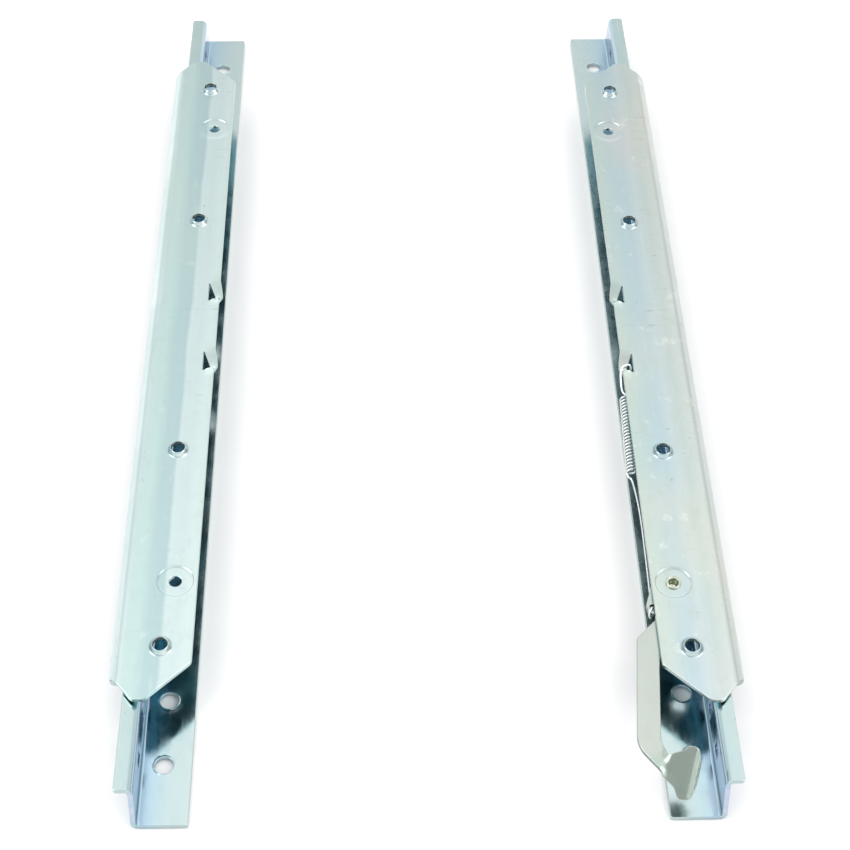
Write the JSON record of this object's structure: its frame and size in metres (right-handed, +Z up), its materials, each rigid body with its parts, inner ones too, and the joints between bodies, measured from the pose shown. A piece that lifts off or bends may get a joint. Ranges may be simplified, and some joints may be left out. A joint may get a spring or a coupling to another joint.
{
  "type": "seat slide rail set",
  "caption": "Adjustable seat slide rails: fixed lower rails with lock windows, sliding upper rails with tapped bosses, and a sprung lock lever on one side",
  "frame": {"origin": "middle of the set on the floor plane, half way between the two slides and half way along the lower rails", "axes": "+X across the seat toward the slide with the lock lever, +Y along the rails away from the thumb paddle, +Z up"},
  "size_m": [0.3078, 0.6, 0.0317],
  "materials": {
    "zinc": "bright zinc plate with a faint blue-green passivate and light scuffs",
    "lever_zinc": "duller zinc plate with a grey-olive cast",
    "rivet_zinc": "yellow-passivated zinc",
    "spring_steel": "plated spring wire and turned steel",
    "acetal": "natural white acetal"
  },
  "bodies": {
    "lower_rails": {"lower_rail_left": "zinc", "lower_rail_right": "zinc", "stop_rivet_left": "zinc", "stop_rivet_right": "zinc"},
    "upper_left": {"upper_rail_left": "zinc", "front_glide_left": "acetal", "rear_glide_left": "acetal"},
    "upper_right": {"upper_rail_right": "zinc", "front_glide_right": "acetal", "rear_glide_right": "acetal", "pivot_rivet": "rivet_zinc", "pivot_bush": "spring_steel", "pivot_washer": "acetal", "retaining_washer": "zinc", "return_spring": "spring_steel"},
    "lever": {"lock_lever": "lever_zinc"}
  },
  "joints": [
    {"name": "left_slide", "type": "slide", "parent": "lower_rails", "child": "upper_left", "axis": [0, 1, 0], "range_m": [-0.0675, 0.0675]},
    {"name": "right_slide", "type": "slide", "parent": "lower_rails", "child": "upper_right", "axis": [0, 1, 0], "range_m": [-0.0675, 0.0675]},
    {"name": "lever_pivot", "type": "hinge", "parent": "upper_right", "child": "lever", "pos_m": [0.1252, -0.1835, 0.02425], "axis": [0, 0, 1], "range_deg": [0, 4.2], "stiffness_Nm_per_rad": 1.5, "springref_deg": -20.05}
  ]
}
